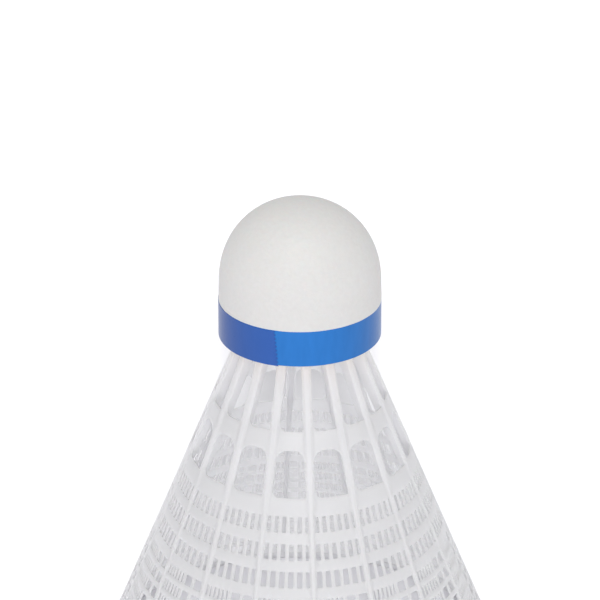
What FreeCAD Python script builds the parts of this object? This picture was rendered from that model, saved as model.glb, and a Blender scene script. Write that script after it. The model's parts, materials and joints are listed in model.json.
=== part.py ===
"""Badminton shuttlecock with a moulded nylon skirt, modelled standing on its rim with the nose up.

Every solid is in millimetres. The origin is at the centre of the rim's lower face, and +Z runs up
the axis to the nose. Heights called "drop" are measured down from the neck, the plane where the
cork's rear face meets the skirt's crown.
"""

import FreeCAD
import Part
import math
import os

# ---- driving dimensions, in millimetres and degrees -------------------------------------------
STEM_COUNT = 16                 # moulded stems, as many as a shuttlecock has feathers
SKIRT_LENGTH = 59.5             # rim to neck
RIM_RADIUS = 33.5               # outer surface of the skirt at the rim
NECK_RADIUS = 9.45              # outer surface of the skirt, run on to the neck
SHELL = 0.28                    # wall of the net and of the rings

HEAD_RADIUS = 12.95             # outside of the skin
HEAD_SIDE = 9.5                 # straight side of the head, below the dome
SKIN = 0.35                     # coated fabric over the cork
CORK_SPLIT = 8.0                # the two cork blocks meet this far above the neck
BOND = 0.1                      # thickness of each glue film

BAND_WIDTH = 6.0
TAPE = 0.1                      # thickness of one turn of tape
BAND_END_AZIMUTH = 248.6        # the tape's outer end, in degrees about +Z from +X
BAND_OVERLAP = 112.0            # degrees of the turn that are two tapes thick

CROWN_THICKNESS = 1.1           # flange that the stems grow from
PLUG_RADIUS = 7.0
PLUG_HOLE_RADIUS = 5.9
PLUG_LENGTH = 5.2
PLUG_CHAMFER = 0.5
GROOVE_DEPTH = 0.3              # glue grooves round the plug
GROOVE_WIDTH = 0.8
GROOVE_HEIGHTS = (1.3, 3.0)     # lower edge of each groove above the neck

STEM_SIDE = 0.76                # from a stem's centre line to the edge of a window
SLOT_SIDE = 0.56                # from a stem's centre line to the edge of the first slot
STRAND = 0.62                   # uprights between the slots of the open rows
FINE_STRAND = 0.44              # uprights between the slits of the dense half
WIDE_STRAND = 0.66              # upright between the two wide slots, and the one beside them
RIM_HEIGHT = 1.2
RIM_OUTWARD = 0.14              # the rim bead stands this far outside the shell
RIM_INWARD = 0.32               # and this far inside it

UPPER_WINDOW = (0.9, 11.1)      # drops of the upper and lower edges; the upper is in the crown
UPPER_CORNER = 1.15             # radius of the foot's left corner
ARCH_WINDOW = (13.95, 20.9)
ARCH_TOP = 1.75                 # radius of both shoulders
ARCH_CORNER = 1.1
TIGHT_CORNER = 0.2              # radius of the foot's right corner in both windows
OPEN_ROWS = 3
OPEN_ROW_DROP = 23.65
OPEN_ROW_PITCH = 4.05
OPEN_ROW_HEIGHT = 2.36
OPEN_SLOTS = 6
LAST_SLOT = 0.68                # the slot beside the right stem, as a share of the others' width
LOBED_ROWS = 9                  # each has a dense half and an open half, as a feather's vane has
LOBED_ROW_DROP = 35.85
LOBED_ROW_PITCH = 2.45
LOBED_ROW_HEIGHT = 1.55
FINE_SLITS = 6
WIDE_SLOTS = 2
OPEN_HALF = 0.43                # share of a panel's width that the wide slots take

# Stem sections: drop, width at the shell, height of the outer ridge, depth inside the outer surface.
STEM_STATIONS = (
    (0.30, 1.70, 0.10, 2.00),
    (10.0, 1.46, 0.20, 1.60),
    (19.5, 1.36, 0.20, 1.15),
    (24.0, 0.98, 0.16, 0.66),
    (59.0, 0.74, 0.10, 0.44),
)
RIDGE_SHARE = 0.46              # ridge's width as a share of the stem's
INNER_SHARE = 0.62              # inner edge's width as a share of the stem's

# ---- worked out -------------------------------------------------------------------------------
STEP = 360.0 / STEM_COUNT
SLOPE = (RIM_RADIUS - NECK_RADIUS) / SKIRT_LENGTH
HALF_ANGLE = math.atan(SLOPE)
APEX_ABOVE_NECK = NECK_RADIUS / SLOPE
APEX = FreeCAD.Vector(0, 0, SKIRT_LENGTH + APEX_ABOVE_NECK)
UP = FreeCAD.Vector(0, 0, 1)
ORIGIN = FreeCAD.Vector(0, 0, 0)
NECK = SKIRT_LENGTH
MARGIN = 0.6                    # a cutter starts this far outside the shell
CUT_DEPTH = 2 * MARGIN + 4 * SHELL


def surface_radius(drop):
    """Radius of the skirt's outer surface at a drop below the neck."""
    return NECK_RADIUS + SLOPE * drop


def slant(drop):
    """Distance from the cone's apex, down its surface, to a drop below the neck."""
    return (drop + APEX_ABOVE_NECK) / math.cos(HALF_ANGLE)


def half_panel(s):
    """Half the width of a panel at slant s, in the plane that touches the cone at its middle."""
    half_step = math.radians(STEP / 2)
    sine, cosine = math.sin(HALF_ANGLE), math.cos(HALF_ANGLE)
    return s * sine * math.sin(half_step) / (sine ** 2 * math.cos(half_step) + cosine ** 2)


def revolved(points, degrees=360.0):
    """Solid of revolution about the axis from (radius, height) points, with arcs given as triples."""
    edges = []
    start = points[0]
    for point in points[1:] + points[:1]:
        if isinstance(point[0], tuple):
            middle, end = point
            edges.append(Part.Arc(at(start), at(middle), at(end)).toShape())
            start = end
        else:
            edges.append(Part.LineSegment(at(start), at(point)).toShape())
            start = point
    face = Part.Face(Part.Wire(edges))
    return face.revolve(ORIGIN, UP, degrees)


def at(point):
    """A (radius, height) pair as a point of the XZ plane."""
    return FreeCAD.Vector(point[0], 0, point[1])


def on_arc(centre_height, radius, degrees):
    """(radius, height) of a point on an arc about a centre on the axis."""
    angle = math.radians(degrees)
    return (radius * math.cos(angle), centre_height + radius * math.sin(angle))


# ---- head -------------------------------------------------------------------------------------
def nose_skin():
    """Coated fabric cap, drawn over the dome and down the side to the rear edge."""
    centre = NECK + HEAD_SIDE
    inner = HEAD_RADIUS - SKIN
    return revolved([
        (inner, NECK),
        (HEAD_RADIUS, NECK),
        (HEAD_RADIUS, centre),
        (on_arc(centre, HEAD_RADIUS, 45), (0, centre + HEAD_RADIUS)),
        (0, centre + inner),
        (on_arc(centre, inner, 45), (inner, centre)),
    ])


def cork_dome():
    """Front block of cork, under the skin."""
    centre = NECK + HEAD_SIDE
    radius = HEAD_RADIUS - SKIN
    foot = NECK + CORK_SPLIT + BOND
    return revolved([
        (0, foot),
        (radius, foot),
        (radius, centre),
        (on_arc(centre, radius, 45), (0, centre + radius)),
    ])


def cork_bond():
    """Glue film between the two cork blocks."""
    return Part.makeCylinder(HEAD_RADIUS - SKIN, BOND, FreeCAD.Vector(0, 0, NECK + CORK_SPLIT))


def cork_base():
    """Rear block of cork, with the blind socket for the skirt's plug."""
    radius = HEAD_RADIUS - SKIN
    block = Part.makeCylinder(radius, CORK_SPLIT, FreeCAD.Vector(0, 0, NECK))
    socket = Part.makeCylinder(
        PLUG_RADIUS + BOND, PLUG_LENGTH + BOND, FreeCAD.Vector(0, 0, NECK)
    )
    return block.cut(socket)


def plug_outline():
    """Outer outline of the plug, as (radius, height) points from the neck up to its hole."""
    points = [(PLUG_RADIUS, NECK)]
    for height in GROOVE_HEIGHTS:
        low = NECK + height
        points += [
            (PLUG_RADIUS, low),
            (PLUG_RADIUS - GROOVE_DEPTH, low),
            (PLUG_RADIUS - GROOVE_DEPTH, low + GROOVE_WIDTH),
            (PLUG_RADIUS, low + GROOVE_WIDTH),
        ]
    top = NECK + PLUG_LENGTH
    points += [
        (PLUG_RADIUS, top - PLUG_CHAMFER),
        (PLUG_RADIUS - PLUG_CHAMFER, top),
        (PLUG_HOLE_RADIUS, top),
    ]
    return points


def plug_glue():
    """Glue that fills the gap between the plug and its socket, keyed into the plug's grooves."""
    outer = PLUG_RADIUS + BOND
    top = NECK + PLUG_LENGTH + BOND
    return revolved(plug_outline() + [
        (PLUG_HOLE_RADIUS, top),
        (outer, top),
        (outer, NECK),
    ])


def speed_band():
    """Tape wound once round the head's lower edge, and on over its own start."""
    base = FreeCAD.Vector(0, 0, NECK)
    outer = Part.makeCylinder(HEAD_RADIUS + TAPE, BAND_WIDTH, base)
    inner = Part.makeCylinder(HEAD_RADIUS, BAND_WIDTH, base)
    turn = outer.cut(inner)
    second = revolved([
        (HEAD_RADIUS + TAPE, NECK),
        (HEAD_RADIUS + 2 * TAPE, NECK),
        (HEAD_RADIUS + 2 * TAPE, NECK + BAND_WIDTH),
        (HEAD_RADIUS + TAPE, NECK + BAND_WIDTH),
    ], BAND_OVERLAP)
    second.rotate(ORIGIN, UP, BAND_END_AZIMUTH - BAND_OVERLAP)
    return turn.fuse(second).removeSplitter()


# ---- skirt ------------------------------------------------------------------------------------
def panel_point(w, s, lift=0.0):
    """A point of the plane that touches the cone along +X: w to the right, s down from the apex."""
    down = FreeCAD.Vector(math.sin(HALF_ANGLE), 0, -math.cos(HALF_ANGLE))
    out = FreeCAD.Vector(math.cos(HALF_ANGLE), 0, math.sin(HALF_ANGLE))
    across = FreeCAD.Vector(0, 1, 0)
    return APEX + down * s + across * w + out * lift


def rounded(before, here, after, radius):
    """Start, middle and end of the arc that rounds the corner at here; all are here if it is sharp."""
    if radius == 0:
        return here, here, here
    back = (before - here).normalize()
    onward = (after - here).normalize()
    half = back.getAngle(onward) / 2
    reach = radius / math.tan(half)
    bisector = (back + onward).normalize()
    middle = here + bisector * (radius / math.sin(half) - radius)
    return here + back * reach, middle, here + onward * reach


def cutter(corners):
    """Prism through the shell from (w, s, radius) corners, each rounded to its radius."""
    flat = [FreeCAD.Vector(w, s, 0) for w, s, radius in corners]
    count = len(corners)
    arcs = []
    for i in range(count):
        arc = rounded(flat[i - 1], flat[i], flat[(i + 1) % count], corners[i][2])
        arcs.append([panel_point(point.x, point.y, MARGIN) for point in arc])
    edges = []
    for i in range(count):
        first, middle, last = arcs[i]
        if first != last:
            edges.append(Part.Arc(first, middle, last).toShape())
        edges.append(Part.LineSegment(last, arcs[(i + 1) % count][0]).toShape())
    inward = panel_point(0, 0, -CUT_DEPTH) - panel_point(0, 0, 0)
    return Part.Face(Part.Wire(edges)).extrude(inward)


def window(top, bottom, top_radius, left_radius):
    """A window between two stems, from drop top to drop bottom."""
    upper, lower = slant(top), slant(bottom)
    top_side = half_panel(upper) - STEM_SIDE
    foot_side = half_panel(lower) - STEM_SIDE
    return cutter([
        (-top_side, upper, top_radius),
        (-foot_side, lower, left_radius),
        (foot_side, lower, TIGHT_CORNER),
        (top_side, upper, top_radius),
    ])


def slot_run(top, height, count, strand, left, right, last=1.0):
    """A row of slots between two lines, given as functions of s, with strands between them.

    The last slot is narrower than the others when last, its share of their width, is under 1.
    """
    upper, lower = slant(top), slant(top + height)
    slots = []
    for i in range(count):
        corners = []
        for s in (upper, lower):
            width = (right(s) - left(s) - strand * (count - 1)) / (count - 1 + last)
            start = left(s) + i * (width + strand)
            end = start + (width * last if i == count - 1 else width)
            corners.append(((start, s, 0), (end, s, 0)))
        (upper_left, upper_right), (lower_left, lower_right) = corners
        slots.append(cutter([upper_left, lower_left, lower_right, upper_right]))
    return slots


def panel_openings():
    """Cutters for every window, slot and slit of one panel."""
    found = [
        window(*UPPER_WINDOW, 0, UPPER_CORNER),
        window(*ARCH_WINDOW, ARCH_TOP, ARCH_CORNER),
    ]

    def left(s):
        return -(half_panel(s) - SLOT_SIDE)

    def right(s):
        return half_panel(s) - SLOT_SIDE

    def split_right(s):
        return right(s) - OPEN_HALF * (right(s) - left(s))

    def split_left(s):
        return split_right(s) - WIDE_STRAND

    for row in range(OPEN_ROWS):
        top = OPEN_ROW_DROP + row * OPEN_ROW_PITCH
        found += slot_run(top, OPEN_ROW_HEIGHT, OPEN_SLOTS, STRAND, left, right, LAST_SLOT)
    for row in range(LOBED_ROWS):
        top = LOBED_ROW_DROP + row * LOBED_ROW_PITCH
        found += slot_run(top, LOBED_ROW_HEIGHT, FINE_SLITS, FINE_STRAND, left, split_left)
        found += slot_run(top, LOBED_ROW_HEIGHT, WIDE_SLOTS, WIDE_STRAND, split_right, right)
    return found


def panel():
    """The shell between two stems' centre planes, facing +X, with its openings cut."""
    inward = SHELL / math.cos(HALF_ANGLE)
    shell = revolved([
        (surface_radius(0) - inward, NECK),
        (surface_radius(0), NECK),
        (surface_radius(SKIRT_LENGTH), 0),
        (surface_radius(SKIRT_LENGTH) - inward, 0),
    ], STEP)
    shell.rotate(ORIGIN, UP, -STEP / 2)
    return shell.cut(Part.makeCompound(panel_openings()))


def stem():
    """One tapered stem along +X, ridged outside and deeper inside the shell."""
    sections = []
    for drop, width, ridge, depth in STEM_STATIONS:
        s = slant(drop)
        outline = [
            (-width * RIDGE_SHARE / 2, ridge),
            (-width / 2, -SHELL / 3),
            (-width * INNER_SHARE / 2, -depth),
            (width * INNER_SHARE / 2, -depth),
            (width / 2, -SHELL / 3),
            (width * RIDGE_SHARE / 2, ridge),
        ]
        points = [panel_point(w, s, lift) for w, lift in outline]
        sections.append(Part.makePolygon(points + points[:1]))
    rod = Part.makeLoft(sections, True, True)
    tall = Part.makeCylinder(2 * RIM_RADIUS, SKIRT_LENGTH)
    return rod.common(tall)


def crown():
    """Flange that the stems grow from, with the hollow plug that the cork is glued on."""
    low = NECK - CROWN_THICKNESS
    return revolved(
        [
            (PLUG_HOLE_RADIUS, low),
            (surface_radius(CROWN_THICKNESS), low),
            (surface_radius(0), NECK),
        ] + plug_outline()
    )


def rim():
    """Bead round the skirt's mouth."""
    low, high = surface_radius(SKIRT_LENGTH), surface_radius(SKIRT_LENGTH - RIM_HEIGHT)
    return revolved([
        (low - SHELL - RIM_INWARD, 0),
        (low + RIM_OUTWARD, 0),
        (high + RIM_OUTWARD, RIM_HEIGHT),
        (high - SHELL - RIM_INWARD, RIM_HEIGHT),
    ])


def skirt():
    """The whole nylon moulding as one solid: crown, stems, rings, net and rim."""
    pieces = [rim()]
    net, rod = panel(), stem()
    for i in range(STEM_COUNT):
        between, beside = net.copy(), rod.copy()
        between.rotate(ORIGIN, UP, (i + 0.5) * STEP)
        beside.rotate(ORIGIN, UP, i * STEP)
        pieces += [between, beside]
    return crown().multiFuse(pieces)


NODES = {
    "nose_skin": nose_skin,
    "cork_dome": cork_dome,
    "cork_bond": cork_bond,
    "cork_base": cork_base,
    "plug_glue": plug_glue,
    "speed_band": speed_band,
    "skirt": skirt,
}


def main():
    os.makedirs("parts", exist_ok=True)
    for name, make in NODES.items():
        shape = make()
        solids = shape.Solids
        made = solids[0] if len(solids) == 1 else Part.makeCompound(solids)
        made.exportStep("parts/" + name + ".step")
        print(name, "solids", len(solids), "valid", made.isValid(),
              "volume", round(made.Volume, 1), "faces", len(made.Faces))


main()
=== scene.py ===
"""Looks of the badminton shuttlecock, in metres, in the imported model's frame.

The skirt, the skin and the tape are built here with rounded edges and finer shapes, and the cork
blocks and the glue keep their CAD solids. A height called drop is measured down from the neck, where
the cork meets the skirt.
"""

import json
import math

import bmesh
import bpy
from mathutils import Matrix, Vector, noise
from mathutils.geometry import delaunay_2d_cdt


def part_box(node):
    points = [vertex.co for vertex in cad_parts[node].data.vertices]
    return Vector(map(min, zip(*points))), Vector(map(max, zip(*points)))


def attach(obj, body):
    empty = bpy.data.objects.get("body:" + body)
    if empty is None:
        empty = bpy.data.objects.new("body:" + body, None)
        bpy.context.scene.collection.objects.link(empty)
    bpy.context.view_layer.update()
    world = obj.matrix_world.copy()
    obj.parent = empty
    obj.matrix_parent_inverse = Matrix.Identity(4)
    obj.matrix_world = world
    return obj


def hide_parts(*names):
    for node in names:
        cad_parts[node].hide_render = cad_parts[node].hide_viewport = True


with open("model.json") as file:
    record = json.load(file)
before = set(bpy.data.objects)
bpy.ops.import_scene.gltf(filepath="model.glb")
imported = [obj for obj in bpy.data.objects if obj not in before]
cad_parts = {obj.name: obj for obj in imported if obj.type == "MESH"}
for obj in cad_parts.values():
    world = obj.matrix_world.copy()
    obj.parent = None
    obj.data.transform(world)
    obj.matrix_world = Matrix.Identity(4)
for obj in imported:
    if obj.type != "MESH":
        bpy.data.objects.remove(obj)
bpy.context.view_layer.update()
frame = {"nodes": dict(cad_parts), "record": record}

MM = 0.001
MOUNTS = {mount["name"]: mount for mount in frame["record"]["mounts"]}

# ---- places and sizes from the frame ----------------------------------------------------------
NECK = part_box("cork_base")[0].z
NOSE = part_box("nose_skin")[1].z
HEAD_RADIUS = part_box("nose_skin")[1].x
SKIN = HEAD_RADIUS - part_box("cork_dome")[1].x
BAND_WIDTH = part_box("speed_band")[1].z - NECK
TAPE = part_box("speed_band")[1].x - HEAD_RADIUS
PLUG_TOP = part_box("skirt")[1].z
PLUG_HOLE_RADIUS = MOUNTS["hub_bore"]["dims"]["r_mm"] * MM

# ---- skirt ------------------------------------------------------------------------------------
STEM_COUNT = 16
NECK_RADIUS = 9.45 * MM
RIM_OUTWARD = 0.14 * MM         # the rim bead stands this far outside the shell
RIM_INWARD = 0.32 * MM
RIM_HEIGHT = 1.2 * MM
RIM_ROUNDING = 0.22 * MM
SHELL = 0.28 * MM
CROWN_THICKNESS = 1.1 * MM
CROWN_ROUNDING = 0.15 * MM
PLUG_ROUNDING = 0.06 * MM
PLUG_TIP_ROUNDING = 3 * CROWN_ROUNDING
PLUG_RADIUS = 7.0 * MM
GROOVE_DEPTH = 0.3 * MM
GROOVE_WIDTH = 0.8 * MM
GROOVE_HEIGHTS = (1.3 * MM, 3.0 * MM)

STEM_SIDE = 0.76 * MM           # from a stem's centre line to the edge of a window
SLOT_SIDE = 0.56 * MM           # from a stem's centre line to the edge of the first slot
STRAND = 0.62 * MM
FINE_STRAND = 0.44 * MM
WIDE_STRAND = 0.66 * MM
UPPER_WINDOW = (0.9 * MM, 11.1 * MM)    # drops of the upper and lower edges
ARCH_WINDOW = (13.95 * MM, 20.9 * MM)
UPPER_CORNER = 1.15 * MM
ARCH_TOP = 1.75 * MM
ARCH_CORNER = 1.1 * MM
TIGHT_CORNER = 0.2 * MM
SLOT_CORNER = 0.1 * MM
OPEN_ROWS, OPEN_SLOTS = 3, 6
OPEN_ROW_DROP, OPEN_ROW_PITCH, OPEN_ROW_HEIGHT = 23.65 * MM, 4.05 * MM, 2.36 * MM
LAST_SLOT = 0.68                # the slot beside the right stem, as a share of the others' width
LOBED_ROWS, FINE_SLITS, WIDE_SLOTS = 9, 6, 2
LOBED_ROW_DROP, LOBED_ROW_PITCH, LOBED_ROW_HEIGHT = 35.85 * MM, 2.45 * MM, 1.55 * MM
OPEN_HALF = 0.43                # share of a panel's width that the wide slots take

# Stem sections: drop, width at the shell, height of the outer ridge, depth inside the surface, in mm.
STEM_STATIONS = (
    (0.30, 1.70, 0.10, 2.00),
    (10.0, 1.46, 0.20, 1.60),
    (19.5, 1.36, 0.20, 1.15),
    (24.0, 0.98, 0.16, 0.66),
    (59.0, 0.74, 0.10, 0.44),
)
RIDGE_SHARE = 0.46              # widths of the ridge and the inner face, as shares of a stem's width
INNER_SHARE = 0.62
STEM_ROUNDING = 0.12            # radius of its corners, as a share of the same
STEM_BELLY = SHELL / 3          # depth at which it is widest

EDGE = 0.07 * MM                # radius that the mould leaves on an opening's edges
NET_TOP = 0.5 * MM              # the net ends inside the crown
NET_FOOT = NECK - RIM_HEIGHT / 2    # and inside the rim's bead
FILL_PITCH = 1.2 * MM           # spacing of the points between openings
FILL_CLEAR = 0.25 * MM          # and their least distance from an opening
RING_SEGMENTS = 12 * STEM_COUNT     # of the crown and the rim

# Spans of the arc at each corner.
WINDOW_STEPS, SLOT_STEPS, SLIT_STEPS = 6, 2, 1
STEM_STEPS, CROWN_STEPS, RIM_STEPS = 2, 3, 4

# ---- head -------------------------------------------------------------------------------------
DOME_FOOT = 9.0 * MM            # height above the neck where the side turns into the dome
DOME_FULLNESS = 2.1             # exponent of the dome's superellipse; 2 is a plain ellipse
SWELL = 0.07 * MM               # the skin stands out this much where the tape presses it in below
DOME_ROWS, SIDE_ROWS = 40, 30
SKIN_SEGMENTS = 144
SKIN_WAVE = 0.014 * MM          # height of the waves in the skin
SKIN_WAVE_SIZE = 2.4 * MM

FILM = 0.6 * TAPE               # thickness of one layer, stretched thinner than off the roll
FILM_GAP = FILM / 30            # keeps a layer clear of what it lies on
BAND_END = 248.6                # azimuth of the tape's outer end, in degrees about +Z from +X
BAND_LEAN = 1.2                 # degrees that its foot runs on past the middle of its height
BAND_OVERLAP = 112.0            # degrees of the turn that are two tapes thick
BAND_CLIMB = 3.0                # degrees in which it climbs onto its own start
BAND_SKEW = 0.13 * MM           # the outer end lies this much lower than the turn under it
BAND_TEETH = 9
TOOTH_DEPTH = 0.36 * MM
BAND_STEP = 2                   # degrees between the columns of its points
BAND_SHARP_ANGLE = 30.0

# ---- materials, where a pair of colours is the darkest and the lightest -----------------------
BLACK, WHITE = (0, 0, 0, 1), (1, 1, 1, 1)
NYLON_COLOURS = (0.81, 0.81, 0.825, 1), (0.85, 0.85, 0.86, 1)
SKIN_COLOURS = (0.65, 0.64, 0.625, 1), (0.72, 0.715, 0.70, 1)
FILM_SINGLE = (0.008, 0.155, 0.51, 1), (0.017, 0.200, 0.62, 1)
FILM_DOUBLE = (0.019, 0.099, 0.40, 1), (0.027, 0.114, 0.44, 1)
FILM_DARKENING = 0.4            # where the film is seen edge on, through more of its own colour
CORK_COLOURS = (0.47, 0.29, 0.145, 1), (0.66, 0.46, 0.26, 1)
CORK_GRAIN = (0.36, 0.205, 0.10, 1)
CORK_JOINT = (0.24, 0.13, 0.06, 1)
CORK_FLECK = (0.10, 0.05, 0.025, 1)
CORK_GRANULE = 1.1 * MM
GLUE_COLOURS = (0.62, 0.50, 0.28, 1), (0.80, 0.70, 0.46, 1)
FLOOR_COLOUR = (0.915, 0.91, 0.945, 1)

# ---- view and light ---------------------------------------------------------------------------
CAMERA_AZIMUTH = -5.4           # degrees about +Z from the -Y side
CAMERA_DISTANCE = 0.5547        # from the axis
CAMERA_ABOVE_NECK = 0.2646
CAMERA_PITCH = 25.04            # degrees below the horizontal
CAMERA_LENS, SENSOR = 230.2, 36.0   # in mm

SKY_STRENGTH = 0.46
SOFTBOX_DISTANCE = 0.9

# Softboxes: degrees round from the front, degrees up, size, W.
HEAD_SOFTBOX = (-8, 58, 0.5, 5.0)
SKIRT_SOFTBOX = (CAMERA_AZIMUTH, 25, 0.35, 1.95)    # from where the camera looks, into the windows
BACK_SOFTBOX = (180, 10, 0.35, 2.7)     # shines through the nylon

# Distant lamps on the floor: degrees up, degrees wide, W/m2.
FLOOR_SUN = (28, 7, 4.7)        # a little higher than the camera
FLOOR_FILL = (90, 40, 0.42)     # from above, to lighten the shadow

FLOOR_RADIUS = 30.0
FLOOR_SIDES = 64
FLOOR_GAP = 0.01 * MM           # so that the floor and the rim's foot don't share a plane

# ---- meshes and nodes -------------------------------------------------------------------------
MERGE_DISTANCE = 0.0005 * MM    # points closer than this become one
SHARP_ANGLE = 50.0              # degrees; gentler edges are shaded smooth
TRIANGLES_INSIDE = 1            # delaunay_2d_cdt's output type
NET_PRECISION = 1e-6            # and its tolerance, in mm
MIX_FIRST, MIX_SECOND, MIX_RESULT = 6, 7, 2     # a Mix node's sockets for colours

# ---- worked out -------------------------------------------------------------------------------
STEP = math.tau / STEM_COUNT
RIM_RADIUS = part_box("skirt")[1].x - RIM_OUTWARD
SLOPE = (RIM_RADIUS - NECK_RADIUS) / NECK
HALF_ANGLE = math.atan(SLOPE)
OUTWARD = Vector((math.cos(HALF_ANGLE), 0, math.sin(HALF_ANGLE)))


# ==== mesh tools ===============================================================================
def new_piece(name, vertices, faces, materials=(), sharp_angle=SHARP_ANGLE):
    """An object with outward faces, smooth except at edges sharper than sharp_angle degrees."""
    mesh = bpy.data.meshes.new(name)
    mesh.from_pydata(vertices, [], faces)
    work = bmesh.new()
    work.from_mesh(mesh)
    bmesh.ops.remove_doubles(work, verts=work.verts, dist=MERGE_DISTANCE)
    bmesh.ops.recalc_face_normals(work, faces=work.faces)
    work.to_mesh(mesh)
    work.free()
    mesh.shade_smooth()
    mesh.set_sharp_from_angle(angle=math.radians(sharp_angle))
    for material in materials:
        mesh.materials.append(material)
    piece = bpy.data.objects.new(name, mesh)
    bpy.context.scene.collection.objects.link(piece)
    return piece


def apply_modifiers(piece):
    """Turn what a piece's modifiers make into its mesh."""
    bpy.context.view_layer.update()
    shape = piece.evaluated_get(bpy.context.evaluated_depsgraph_get())
    mesh = bpy.data.meshes.new_from_object(shape)
    piece.modifiers.clear()
    piece.data = mesh


def ring_faces(first, second):
    """Quads between two closed rings of vertex indices, of the same length."""
    count = len(first)
    return [
        (first[i], first[(i + 1) % count], second[(i + 1) % count], second[i])
        for i in range(count)
    ]


def rounded_outline(corners, steps, grow=0.0):
    """Outline round (x, y, radius) corners, each an arc of steps spans, pushed outwards by grow."""
    outline = []
    for i, (x, y, radius) in enumerate(corners):
        here = Vector((x, y))
        back = (Vector(corners[i - 1][:2]) - here).normalized()
        onward = (Vector(corners[(i + 1) % len(corners)][:2]) - here).normalized()
        half = back.angle(onward) / 2
        centre = here + (back + onward).normalized() * (radius / math.sin(half))
        first = here + back * (radius / math.tan(half)) - centre
        last = here + onward * (radius / math.tan(half)) - centre
        for k in range(steps + 1):
            outline.append(centre + first.slerp(last, k / steps).normalized() * (radius + grow))
    return outline


def revolved(name, profile, segments):
    """Solid of revolution about the axis from a closed outline of (radius, height) points."""
    vertices, faces, rings = [], [], []
    for k in range(segments):
        angle = math.tau * k / segments
        rings.append(range(len(vertices), len(vertices) + len(profile)))
        vertices += [(r * math.cos(angle), r * math.sin(angle), z) for r, z in profile]
    for k in range(segments):
        faces += ring_faces(rings[k - 1], rings[k])
    return new_piece(name, vertices, faces)


# ==== skirt ====================================================================================
def radius_at(drop):
    """Radius of the skirt's outer surface at a drop below the neck."""
    return NECK_RADIUS + SLOPE * drop


def on_skirt(across, drop, lift=0.0):
    """A point of the cone: across metres round it from the +X line, and lift metres off it."""
    radius = radius_at(drop)
    angle = across / radius
    reach = radius + lift * OUTWARD.x
    return Vector((reach * math.cos(angle), reach * math.sin(angle), NECK - drop + lift * OUTWARD.z))


def half_panel(drop):
    """Half the distance round the cone between two stems."""
    return radius_at(drop) * STEP / 2


def window(top, bottom, top_radius, left_radius):
    """Corners of a window between two stems, anticlockwise from its upper left."""
    top_side = half_panel(top) - STEM_SIDE
    foot_side = half_panel(bottom) - STEM_SIDE
    return [
        (-top_side, top, top_radius),
        (-foot_side, bottom, left_radius),
        (foot_side, bottom, TIGHT_CORNER),
        (top_side, top, top_radius),
    ]


def slot_run(top, height, count, strand, left, right, last=1.0):
    """Corners of each slot in a row between two lines, given as functions of drop.

    The last slot is narrower than the others when last, its share of their width, is under 1.
    """
    slots = []
    for i in range(count):
        sides = []
        for drop in (top, top + height):
            width = (right(drop) - left(drop) - strand * (count - 1)) / (count - 1 + last)
            start = left(drop) + i * (width + strand)
            end = start + (width * last if i == count - 1 else width)
            sides.append(((start, drop, SLOT_CORNER), (end, drop, SLOT_CORNER)))
        (upper_left, upper_right), (lower_left, lower_right) = sides
        slots.append([upper_left, lower_left, lower_right, upper_right])
    return slots


def panel_openings():
    """(corners, steps of each corner's arc) of every window, slot and slit of one panel."""

    # The lines between which the slots and slits lie, each at a drop below the neck.
    def left(drop):
        return SLOT_SIDE - half_panel(drop)

    def right(drop):
        return half_panel(drop) - SLOT_SIDE

    def split_right(drop):
        return right(drop) - OPEN_HALF * (right(drop) - left(drop))

    def split_left(drop):
        return split_right(drop) - WIDE_STRAND

    windows = [
        window(*UPPER_WINDOW, TIGHT_CORNER, UPPER_CORNER),
        window(*ARCH_WINDOW, ARCH_TOP, ARCH_CORNER),
    ]
    slots, slits = [], []
    for row in range(OPEN_ROWS):
        top = OPEN_ROW_DROP + row * OPEN_ROW_PITCH
        slots += slot_run(top, OPEN_ROW_HEIGHT, OPEN_SLOTS, STRAND, left, right, LAST_SLOT)
    for row in range(LOBED_ROWS):
        top = LOBED_ROW_DROP + row * LOBED_ROW_PITCH
        slots += slot_run(top, LOBED_ROW_HEIGHT, WIDE_SLOTS, WIDE_STRAND, split_right, right)
        slits += slot_run(top, LOBED_ROW_HEIGHT, FINE_SLITS, FINE_STRAND, left, split_left)
    return (
        [(corners, WINDOW_STEPS) for corners in windows]
        + [(corners, SLOT_STEPS) for corners in slots]
        + [(corners, SLIT_STEPS) for corners in slits]
    )


def panel_border():
    """Points round one panel: down its left stem's centre line, along the rim, up and back."""
    rows = round((NET_FOOT - NET_TOP) / FILL_PITCH)
    drops = [NET_TOP + (NET_FOOT - NET_TOP) * i / rows for i in range(rows + 1)]
    columns = round(2 * half_panel(NET_FOOT) / FILL_PITCH)
    shares = [2 * i / columns - 1 for i in range(1, columns)]
    down = [Vector((-half_panel(drop), drop)) for drop in drops]
    along = [Vector((share * half_panel(NET_FOOT), NET_FOOT)) for share in shares]
    up = [Vector((half_panel(drop), drop)) for drop in reversed(drops)]
    return down + along + up


def panel_fill(outlines):
    """Points spread over a panel, clear of its openings, that keep the shell round."""
    blocks = [
        (min(p.x for p in o), max(p.x for p in o), min(p.y for p in o), max(p.y for p in o))
        for o in outlines
    ]
    rows = round((NET_FOOT - NET_TOP) / FILL_PITCH)
    fill = []
    for row in range(rows):
        drop = NET_TOP + (NET_FOOT - NET_TOP) * (row + 0.5) / rows
        columns = round(2 * half_panel(drop) / FILL_PITCH)
        for column in range(1, columns):
            across = (2 * column / columns - 1) * half_panel(drop)
            if all(
                across < low - FILL_CLEAR or across > high + FILL_CLEAR
                or drop < top - FILL_CLEAR or drop > bottom + FILL_CLEAR
                for low, high, top, bottom in blocks
            ):
                fill.append(Vector((across, drop)))
    return fill


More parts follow.
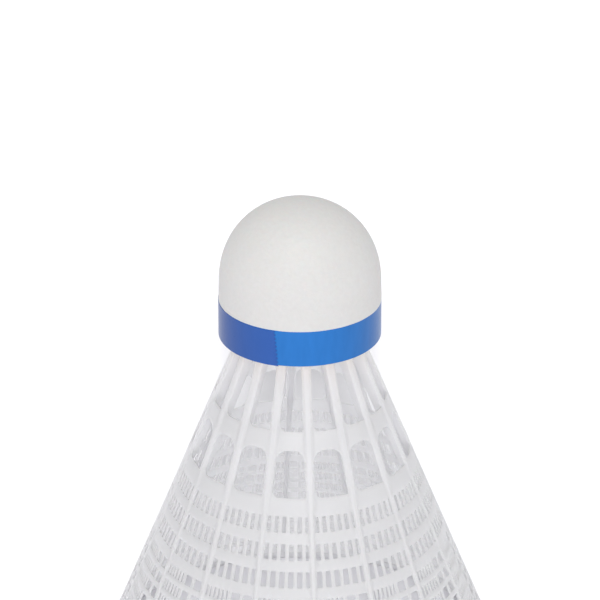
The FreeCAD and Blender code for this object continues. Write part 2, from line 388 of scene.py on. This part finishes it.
def triangulated(border, outlines, fill):
    """Every point, each outline's indices, and the triangles between the border and the outlines."""
    points = list(border)
    edges = [(i, (i + 1) % len(border)) for i in range(len(border))]
    loops, loop_of = [], {}
    for number, outline in enumerate(outlines):
        loop = list(range(len(points), len(points) + len(outline)))
        edges += [(loop[i - 1], loop[i]) for i in range(len(loop))]
        loop_of.update({index: number for index in loop})
        loops.append(loop)
        points += outline
    points += fill
    flat = [point / MM for point in points]
    faces = delaunay_2d_cdt(flat, edges, [], TRIANGLES_INSIDE, NET_PRECISION)[2]
    # A triangle with all its points on one outline fills that opening, and is left out.
    solid = [
        face for face in faces
        if len({loop_of.get(index, -1) for index in face}) > 1 or loop_of.get(face[0]) is None
    ]
    return points, loops, solid


def panel_shell():
    """Vertices and faces of the net between two stems' centre lines, with rounded openings."""
    openings = panel_openings()
    outlines = [rounded_outline(corners, steps, EDGE) for corners, steps in openings]
    border = panel_border()
    points, loops, triangles = triangulated(border, outlines, panel_fill(outlines))
    count = len(points)
    vertices = [on_skirt(*point) for point in points]
    vertices += [on_skirt(*point, -SHELL) for point in points]
    faces = list(triangles)
    faces += [(a + count, c + count, b + count) for a, b, c in triangles]
    for i in range(len(border)):
        j = (i + 1) % len(border)
        if border[i].y == border[j].y:
            faces.append((i, j, j + count, i + count))
    eased = EDGE * (1 - math.sqrt(0.5))     # the middle of a rounded edge, in from its two faces
    for (corners, steps), loop in zip(openings, loops):
        rings = [loop]
        halfway = [] if steps == SLIT_STEPS else [(eased, -eased)]
        for grow, lift in (*halfway, (0.0, -EDGE), (0.0, EDGE - SHELL)):
            rings.append(range(len(vertices), len(vertices) + len(loop)))
            vertices += [on_skirt(*p, lift) for p in rounded_outline(corners, steps, grow)]
        rings.append([index + count for index in loop])
        for first, second in zip(rings, rings[1:]):
            faces += ring_faces(first, second)
    return vertices, faces


def repeated_round(vertices, faces, offset):
    """Copies of a shape on every stem or panel, offset steps round from the first stem."""
    all_vertices, all_faces = [], []
    for i in range(STEM_COUNT):
        turn = Matrix.Rotation((i + offset) * STEP, 3, "Z")
        start = len(all_vertices)
        all_vertices += [turn @ Vector(vertex) for vertex in vertices]
        all_faces += [tuple(index + start for index in face) for face in faces]
    return all_vertices, all_faces


def stem_rod():
    """Vertices and faces of one tapered stem along +X, ridged outside and deeper inside."""
    vertices, faces, rings = [], [], []
    for station in STEM_STATIONS:
        drop, width, ridge, depth = (value * MM for value in station)
        rounding = STEM_ROUNDING * width
        section = rounded_outline([
            (-width * RIDGE_SHARE / 2, ridge, rounding),
            (-width / 2, -STEM_BELLY, rounding),
            (-width * INNER_SHARE / 2, -depth, rounding),
            (width * INNER_SHARE / 2, -depth, rounding),
            (width / 2, -STEM_BELLY, rounding),
            (width * RIDGE_SHARE / 2, ridge, rounding),
        ], STEM_STEPS)
        centre = on_skirt(0, drop)
        rings.append(range(len(vertices), len(vertices) + len(section)))
        vertices += [centre + Vector((0, across, 0)) + OUTWARD * lift for across, lift in section]
    for first, second in zip(rings, rings[1:]):
        faces += ring_faces(first, second)
    faces += [tuple(rings[0]), tuple(rings[-1])]
    return vertices, faces


def crown():
    """Flange that the stems grow from, and the hollow, grooved plug inside the cork."""
    low = NECK - CROWN_THICKNESS
    corners = [
        (PLUG_HOLE_RADIUS, low, CROWN_ROUNDING),
        (radius_at(CROWN_THICKNESS), low, CROWN_ROUNDING),
        (radius_at(0), NECK, PLUG_ROUNDING),
        (PLUG_RADIUS, NECK, PLUG_ROUNDING),
    ]
    for height in GROOVE_HEIGHTS:
        for radius, z in (
            (PLUG_RADIUS, NECK + height),
            (PLUG_RADIUS - GROOVE_DEPTH, NECK + height),
            (PLUG_RADIUS - GROOVE_DEPTH, NECK + height + GROOVE_WIDTH),
            (PLUG_RADIUS, NECK + height + GROOVE_WIDTH),
        ):
            corners.append((radius, z, PLUG_ROUNDING))
    corners += [
        (PLUG_RADIUS, PLUG_TOP, PLUG_TIP_ROUNDING),
        (PLUG_HOLE_RADIUS, PLUG_TOP, PLUG_ROUNDING),
    ]
    return revolved("crown", rounded_outline(corners, CROWN_STEPS), RING_SEGMENTS)


def rim():
    """Bead round the skirt's mouth."""
    low, high = RIM_RADIUS, radius_at(NECK - RIM_HEIGHT)
    corners = [
        (low - SHELL - RIM_INWARD, 0, RIM_ROUNDING),
        (low + RIM_OUTWARD, 0, RIM_ROUNDING),
        (high + RIM_OUTWARD, RIM_HEIGHT, RIM_ROUNDING),
        (high - SHELL - RIM_INWARD, RIM_HEIGHT, RIM_ROUNDING),
    ]
    return revolved("rim", rounded_outline(corners, RIM_STEPS), RING_SEGMENTS)


def skirt(material):
    """The nylon moulding: net, stems, crown and rim, joined into one closed surface."""
    net = new_piece("skirt_moulding", *repeated_round(*panel_shell(), 0.5))
    stems = new_piece("stems", *repeated_round(*stem_rod(), 0))
    others = [stems, crown(), rim()]
    for other in others:
        union = net.modifiers.new(other.name, "BOOLEAN")
        union.operation = "UNION"
        union.solver = "MANIFOLD"
        union.object = other
    apply_modifiers(net)
    net.data.set_sharp_from_angle(angle=math.radians(SHARP_ANGLE))
    even = net.modifiers.new("even_shading", "WEIGHTED_NORMAL")
    even.keep_sharp = True
    apply_modifiers(net)
    net.data.materials.clear()
    net.data.materials.append(material)
    for other in others:
        bpy.data.objects.remove(other)
    return net


# ==== head =====================================================================================
def side_radius(height, swell):
    """Radius of the skin's side, which swells towards the tape and is pressed in under it."""
    share = (DOME_FOOT - height) / (DOME_FOOT - BAND_WIDTH)
    return HEAD_RADIUS + (swell * share if share <= 1 else 0)


def skin_profile(inset, swell):
    """(radius, height above the neck) from the nose down to the rear edge, inset from the outside."""
    dome_height = NOSE - NECK - DOME_FOOT
    power = 2 / DOME_FULLNESS
    profile = []
    for i in range(DOME_ROWS + 1):
        angle = math.radians(90 - 90 * i / DOME_ROWS)
        across = max(math.cos(angle), 0) ** power
        up = max(math.sin(angle), 0) ** power
        profile.append(((HEAD_RADIUS - inset) * across, DOME_FOOT + (dome_height - inset) * up))
    for i in range(1, SIDE_ROWS + 1):
        height = DOME_FOOT * (1 - i / SIDE_ROWS)
        profile.append((side_radius(height, swell) - inset, height))
    return profile


def skin(material):
    """Coated fabric cap with the slight waves of a skin pulled over cork by hand."""
    outer, inner = skin_profile(0, SWELL), skin_profile(SKIN, 0)
    vertices, faces, rings = [], [], []
    for profile, wave in ((outer, SKIN_WAVE), (inner, 0)):
        for radius, height in profile:
            rings.append(range(len(vertices), len(vertices) + SKIN_SEGMENTS))
            for k in range(SKIN_SEGMENTS):
                angle = math.tau * k / SKIN_SEGMENTS
                point = Vector((radius * math.cos(angle), radius * math.sin(angle), NECK + height))
                depth = wave * (noise.noise(point / SKIN_WAVE_SIZE) - 1) / 2
                middle = Vector((0, 0, NECK + min(height, DOME_FOOT)))
                vertices.append(point + (point - middle).normalized() * depth)
    count = len(outer)
    for start in (0, count):
        for first, second in zip(rings[start:start + count], rings[start + 1:start + count]):
            faces += ring_faces(first, second)
    faces += ring_faces(rings[count - 1], rings[-1])
    return new_piece("nose_cover", vertices, faces, [material])


def tape(single, double):
    """Strip of film wound once round the head and on over its own start, with a serrated end."""
    turned = 360 + BAND_OVERLAP
    columns = round(turned / BAND_STEP)
    rows = 2 * BAND_TEETH
    outside, inside = [], []
    for column in range(columns + 1):
        degrees = turned * column / columns
        climb = min(max((degrees - 360) / BAND_CLIMB + 1, 0), 1)
        base = HEAD_RADIUS + FILM_GAP + FILM * climb ** 2 * (3 - 2 * climb)
        skew = BAND_SKEW * max(degrees - 360, 0) / BAND_OVERLAP
        for row in range(rows + 1):
            tooth = TOOTH_DEPTH * (row % 2) * (column in (0, columns))
            azimuth = BAND_END - turned + degrees + BAND_LEAN * (1 - 2 * row / rows)
            azimuth += math.degrees(tooth / HEAD_RADIUS) * (1 if column == 0 else -1)
            angle = math.radians(azimuth)
            height = NECK + BAND_WIDTH * row / rows - skew
            for wall, radius in ((inside, base), (outside, base + FILM - 2 * FILM_GAP)):
                wall.append((radius * math.cos(angle), radius * math.sin(angle), height))
    count = len(outside)
    stride = rows + 1
    faces, doubled = [], []
    for column in range(columns):
        over = turned * (column + 0.5) / columns > 360
        for row in range(rows):
            a = column * stride + row
            quad = (a, a + stride, a + stride + 1, a + 1)
            faces += [quad, tuple(index + count for index in reversed(quad))]
            doubled += [over, over]
    edge_ring = (
        [column * stride for column in range(columns + 1)]
        + [columns * stride + row for row in range(1, rows + 1)]
        + [column * stride + rows for column in range(columns - 1, -1, -1)]
        + [row for row in range(rows - 1, 0, -1)]
    )
    for i in range(len(edge_ring)):
        a, b = edge_ring[i - 1], edge_ring[i]
        faces.append((a, b, b + count, a + count))
        doubled.append(max(a, b) % count // stride > columns * 360 / turned)
    piece = new_piece("tape_band", outside + inside, faces, [single, double], BAND_SHARP_ANGLE)
    for polygon, over in zip(piece.data.polygons, doubled):
        polygon.material_index = int(over)
    return piece


# ==== materials ================================================================================
class Shader:
    """A material with one Principled shader, and short calls that add the nodes in front of it."""

    def __init__(self, name, roughness, **inputs):
        self.material = bpy.data.materials.new(name)
        self.material.use_nodes = True
        self.tree = self.material.node_tree
        self.surface = self.tree.nodes["Principled BSDF"]
        self.surface.inputs["Roughness"].default_value = roughness
        for key, value in inputs.items():
            self.surface.inputs[key.replace("_", " ")].default_value = value
        self.place = self.tree.nodes.new("ShaderNodeTexCoord").outputs["Object"]

    def add(self, kind, settings=None, **inputs):
        """A new node, with its settings and its inputs, each a value or another node's output."""
        node = self.tree.nodes.new(kind)
        for key, value in (settings or {}).items():
            setattr(node, key, value)
        for key, value in inputs.items():
            self.feed(node.inputs[key.replace("_", " ")], value)
        return node

    def feed(self, socket, value):
        """Link another node's output to a socket, or set the socket to a value."""
        if isinstance(value, bpy.types.NodeSocket):
            self.tree.links.new(value, socket)
        else:
            socket.default_value = value

    def stretched(self, scale):
        """Object coordinates scaled by (x, y, z)."""
        return self.add("ShaderNodeMapping", Vector=self.place, Scale=scale).outputs["Vector"]

    def noise(self, size, detail=3.0, roughness=0.5, where=None):
        """Noise with features about size metres across."""
        node = self.add(
            "ShaderNodeTexNoise", Vector=where or self.place, Scale=1 / size, Detail=detail,
            Roughness=roughness,
        )
        return node.outputs["Fac"]

    def cells(self, size, feature="F1", output="Distance"):
        """Voronoi cells about size metres across."""
        node = self.add("ShaderNodeTexVoronoi", {"feature": feature}, Vector=self.place, Scale=1 / size)
        return node.outputs[output]

    def spread(self, fac, low, high):
        """fac, which runs from 0 to 1, mapped to low..high."""
        node = self.add("ShaderNodeMapRange", Value=fac)
        node.inputs["To Min"].default_value = low
        node.inputs["To Max"].default_value = high
        return node.outputs["Result"]

    def fade(self, fac, start, end):
        """0 up to start, 1 from end on, and a ramp between them."""
        node = self.add("ShaderNodeMapRange", Value=fac)
        node.inputs["From Min"].default_value = start
        node.inputs["From Max"].default_value = end
        return node.outputs["Result"]

    def blend(self, fac, first, second):
        """A colour between first and second."""
        node = self.add("ShaderNodeMix", {"data_type": "RGBA"})
        self.feed(node.inputs["Factor"], fac)
        self.feed(node.inputs[MIX_FIRST], first)
        self.feed(node.inputs[MIX_SECOND], second)
        return node.outputs[MIX_RESULT]

    def colour(self, value):
        self.feed(self.surface.inputs["Base Color"], value)

    def rough(self, value):
        self.feed(self.surface.inputs["Roughness"], value)

    def bump(self, height, depth, under=None):
        """Bumps depth metres high, over those already there."""
        node = self.add("ShaderNodeBump", Height=height, Distance=depth, Strength=1.0)
        if under:
            self.feed(node.inputs["Normal"], under)
        return node.outputs["Normal"]

    def normal(self, value):
        self.feed(self.surface.inputs["Normal"], value)


def nylon_material():
    """Translucent natural nylon, a little cloudy, with the mould's fine finish."""
    nylon = Shader(
        "nylon", roughness=0.45, Subsurface_Weight=0.8, Subsurface_Scale=2.0 * MM, IOR=1.53,
    )
    nylon.surface.inputs["Subsurface Radius"].default_value = (1.0, 1.0, 1.05)
    cloud = nylon.noise(5 * MM)
    nylon.colour(nylon.blend(cloud, *NYLON_COLOURS))
    nylon.rough(nylon.spread(nylon.noise(1.5 * MM), low=0.40, high=0.52))
    nylon.normal(nylon.bump(nylon.noise(0.25 * MM, detail=2.0), depth=0.004 * MM))
    return nylon.material


def skin_material():
    """White coated fabric with a fine pebbled grain."""
    fabric = Shader(
        "coated_fabric", roughness=0.62, Subsurface_Weight=0.08, Subsurface_Scale=0.4 * MM,
    )
    mottle = fabric.noise(0.7 * MM, detail=5.0, roughness=0.6)
    fabric.colour(fabric.blend(mottle, *SKIN_COLOURS))
    fabric.rough(fabric.spread(fabric.noise(0.5 * MM), low=0.52, high=0.70))
    pebbles = fabric.bump(fabric.cells(0.55 * MM, "SMOOTH_F1"), depth=0.050 * MM)
    fabric.normal(fabric.bump(fabric.noise(0.25 * MM), depth=0.010 * MM, under=pebbles))
    return fabric.material


def tape_material(name, dark, light):
    """Satin film, slightly uneven in colour where it is stretched over the skin's grain."""
    film = Shader(name, roughness=0.3, Specular_IOR_Level=0.28)
    streaks = film.noise(1.2 * MM, where=film.stretched((1, 1, 0.3)))
    facing = film.add("ShaderNodeLayerWeight").outputs["Facing"]
    darkening = film.spread(facing, low=0.0, high=FILM_DARKENING)
    film.colour(film.blend(darkening, film.blend(streaks, dark, light), BLACK))
    film.rough(film.spread(film.noise(0.6 * MM), low=0.24, high=0.38))
    film.normal(film.bump(film.noise(0.7 * MM, detail=2.0), depth=0.006 * MM))
    return film.material


def cork_material():
    """Ground cork: pressed granules of several browns, flecked with dark bark."""
    cork = Shader("ground_cork", roughness=0.85)
    granule = cork.cells(CORK_GRANULE, output="Color")
    tone = cork.add("ShaderNodeSeparateColor", Color=granule).outputs["Red"]
    body = cork.blend(tone, *CORK_COLOURS)
    grain = cork.noise(0.45 * MM, detail=6.0, roughness=0.7)
    body = cork.blend(cork.fade(grain, start=0.50, end=0.75), body, CORK_GRAIN)
    joint = cork.fade(cork.cells(CORK_GRANULE, "DISTANCE_TO_EDGE"), start=0.0, end=0.07)
    seam = cork.blend(cork.fade(cork.noise(2.0 * MM), start=0.35, end=0.65), CORK_JOINT, body)
    body = cork.blend(joint, seam, body)
    fleck = cork.fade(cork.noise(0.9 * MM, detail=2.0), start=0.66, end=0.70)
    cork.colour(cork.blend(fleck, body, CORK_FLECK))
    pores = cork.bump(grain, depth=0.07 * MM)
    cork.normal(cork.bump(joint, depth=0.04 * MM, under=pores))
    return cork.material


def glue_material():
    """Dried contact glue, amber and slightly stringy."""
    glue = Shader("dried_glue", roughness=0.35, Subsurface_Weight=0.3, Subsurface_Scale=0.5 * MM)
    glue.colour(glue.blend(glue.noise(1.0 * MM), *GLUE_COLOURS))
    glue.normal(glue.bump(glue.noise(0.5 * MM), depth=0.03 * MM))
    return glue.material


# ==== stage ====================================================================================
def floor():
    """Plain, round, pale floor."""
    table = Shader("pale_floor", roughness=0.9)
    table.colour(FLOOR_COLOUR)
    angles = [math.tau * i / FLOOR_SIDES for i in range(FLOOR_SIDES)]
    edge = [Vector((math.cos(angle), math.sin(angle), 0)) * FLOOR_RADIUS for angle in angles]
    disc = new_piece("floor", edge, [tuple(range(FLOOR_SIDES))], [table.material])
    disc.location.z = -FLOOR_GAP
    return disc


def light_only(lamp, pieces):
    """Keep a lamp's light to these objects; everything still casts its shadow in it."""
    receivers = bpy.data.collections.new(lamp.name + "_receivers")
    for piece in pieces:
        receivers.objects.link(piece)
    lamp.light_linking.receiver_collection = receivers


def softbox(name, azimuth, elevation, size, power, pieces):
    """Square soft lamp that faces the neck and lights these objects alone."""
    light_data = bpy.data.lights.new(name, "AREA")
    light_data.shape = "SQUARE"
    light_data.size = size
    light_data.energy = power
    box = bpy.data.objects.new(name, light_data)
    up, turn = math.radians(elevation), math.radians(azimuth)
    away = Vector((math.cos(up) * math.sin(turn), -math.cos(up) * math.cos(turn), math.sin(up)))
    box.location = Vector((0, 0, NECK)) + away * SOFTBOX_DISTANCE
    box.rotation_euler = away.to_track_quat("Z", "Y").to_euler()
    bpy.context.scene.collection.objects.link(box)
    light_only(box, pieces)


def floor_lamp(name, elevation, width, strength, disc):
    """Distant lamp on the camera's side or overhead that lights the floor alone and keeps it white."""
    light_data = bpy.data.lights.new(name, "SUN")
    light_data.energy = strength
    light_data.angle = math.radians(width)
    sun = bpy.data.objects.new(name, light_data)
    sun.rotation_euler = (math.radians(90 - elevation), 0, math.radians(CAMERA_AZIMUTH))
    bpy.context.scene.collection.objects.link(sun)
    light_only(sun, [disc])


def sky():
    """Even white surroundings."""
    world = bpy.data.worlds.new("studio")
    world.use_nodes = True
    background = world.node_tree.nodes["Background"]
    background.inputs["Color"].default_value = WHITE
    background.inputs["Strength"].default_value = SKY_STRENGTH
    bpy.context.scene.world = world
    bpy.context.scene.view_settings.view_transform = "Standard"


def camera():
    """Camera at the photograph's angle."""
    lens = bpy.data.cameras.new("camera")
    lens.lens = CAMERA_LENS
    lens.sensor_width = SENSOR
    turn = math.radians(CAMERA_AZIMUTH)
    view = bpy.data.objects.new("camera", lens)
    view.location = (
        CAMERA_DISTANCE * math.sin(turn),
        -CAMERA_DISTANCE * math.cos(turn),
        NECK + CAMERA_ABOVE_NECK,
    )
    view.rotation_euler = (math.radians(90 - CAMERA_PITCH), 0, turn)
    bpy.context.scene.collection.objects.link(view)
    bpy.context.scene.camera = view


# ==== putting it together ======================================================================
def core():
    """The cork blocks and the glue, which keep their CAD shapes, in their materials."""
    pieces = []
    for material, nodes in (
        (cork_material(), ("cork_dome", "cork_base")),
        (glue_material(), ("cork_bond", "plug_glue")),
    ):
        for node in nodes:
            piece = frame["nodes"][node]
            piece.data.materials.clear()
            piece.data.materials.append(material)
            pieces.append(piece)
    return pieces


def settle(piece, node):
    """A piece built here stands for a CAD node and rides on the only body."""
    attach(piece, "root")
    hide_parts(node)


camera()
sky()
ground = floor()
floor_lamp("floor_sun", *FLOOR_SUN, ground)
floor_lamp("floor_fill", *FLOOR_FILL, ground)
moulding = skirt(nylon_material())
cover = skin(skin_material())
band = tape(tape_material("film_single", *FILM_SINGLE), tape_material("film_double", *FILM_DOUBLE))
settle(moulding, "skirt")
settle(cover, "nose_skin")
settle(band, "speed_band")
softbox("head_softbox", *HEAD_SOFTBOX, [cover, band, *core()])
softbox("skirt_softbox", *SKIRT_SOFTBOX, [moulding])
softbox("back_softbox", *BACK_SOFTBOX, [moulding])
